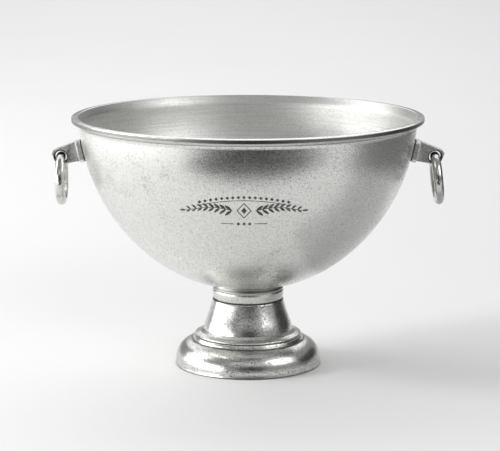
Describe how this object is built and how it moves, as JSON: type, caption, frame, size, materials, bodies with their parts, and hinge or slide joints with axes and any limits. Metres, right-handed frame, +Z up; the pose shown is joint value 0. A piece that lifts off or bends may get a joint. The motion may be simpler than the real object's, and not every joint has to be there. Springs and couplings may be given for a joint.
{
  "type": "champagne bucket",
  "caption": "Wide footed serving bowl with a rolled lip, a bell-shaped stem on a domed base, and a swinging ring handle on each side.",
  "frame": {"origin": "centre of the base, on the surface the bucket stands on", "axes": "+Z up along the bowl's axis, +X through the two ring handles, -Y the front"},
  "size_m": [0.4469, 0.4, 0.2887],
  "materials": {
    "antique_silver": "polished silver plate on cast and turned aluminium, antiqued with fine dark mottling",
    "cast_silver": "silver plate on a slightly rough casting, antiqued",
    "steel": "plain stainless steel",
    "rubber": "matt black rubber",
    "felt": "dense dark felt"
  },
  "bodies": {
    "bucket": {"bowl": "antique_silver", "neck_collar": "antique_silver", "stem_bell": "antique_silver", "base": "antique_silver", "clamp_stud": "steel", "clamp_washer": "steel", "clamp_nut": "steel", "foot_pad_1": "felt", "foot_pad_2": "felt", "foot_pad_3": "felt", "foot_pad_4": "felt", "bracket_right": "cast_silver", "bracket_left": "cast_silver", "gasket_right": "rubber", "gasket_left": "rubber", "screw_right_low": "steel", "screw_right_high": "steel", "screw_left_low": "steel", "screw_left_high": "steel"},
    "ring_right": {"ring_right": "cast_silver"},
    "ring_left": {"ring_left": "cast_silver"}
  },
  "joints": [
    {"name": "ring_right_swing", "type": "hinge", "parent": "bucket", "child": "ring_right", "pos_m": [0.2128, 0, 0.2412], "axis": [0, -1, 0], "range_deg": [-49, 182]},
    {"name": "ring_left_swing", "type": "hinge", "parent": "bucket", "child": "ring_left", "pos_m": [-0.2128, 0, 0.2412], "axis": [0, 1, 0], "range_deg": [-43, 188]}
  ]
}
